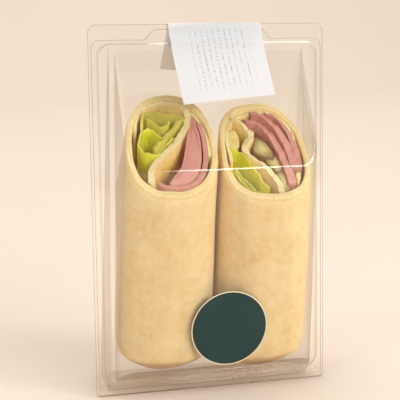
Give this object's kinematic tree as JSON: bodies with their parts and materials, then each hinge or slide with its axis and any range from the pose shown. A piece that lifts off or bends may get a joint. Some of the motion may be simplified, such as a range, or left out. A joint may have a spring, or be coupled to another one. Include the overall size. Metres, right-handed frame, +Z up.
{
  "type": "packed tortilla wrap",
  "caption": "Ham and cheese tortilla wrap cut in half on the slant, standing in a shut clear hinged pack with a seal label and a round sticker.",
  "frame": {"origin": "centre of the bounding box's underside, on the ground under the standing pack", "axes": "+Z up the standing pack, +X to the right across its front, -Y out of its front face"},
  "size_m": [0.128, 0.0642, 0.1952],
  "materials": {
    "clear_plastic": "clear, glossy",
    "white_paper": "smooth, satin",
    "dark_green_paper": "smooth, satin",
    "tortilla": "matte, floury, toasted in patches",
    "ham": "moist, satin",
    "lettuce": "crisp, satin",
    "cheese": "smooth, satin",
    "pickle": "wet, satin"
  },
  "bodies": {
    "root": {"lid": "clear_plastic", "tray": "clear_plastic", "label": "white_paper", "sticker": "dark_green_paper", "tortilla_left": "tortilla", "tortilla_right": "tortilla", "lettuce_left_back": "lettuce", "lettuce_left_rib": "lettuce", "lettuce_left_fold": "lettuce", "lettuce_left_front": "lettuce", "ham_left_inner": "ham", "ham_left_outer": "ham", "lettuce_right_outer": "lettuce", "lettuce_right_inner": "lettuce", "lettuce_right_rib": "lettuce", "cheese_right_slice": "cheese", "cheese_right_edge": "cheese", "pickle_right_back": "pickle", "pickle_right_middle": "pickle", "pickle_right_front": "pickle", "ham_right_inner": "ham", "ham_right_middle": "ham", "ham_right_outer": "ham"}
  },
  "joints": []
}
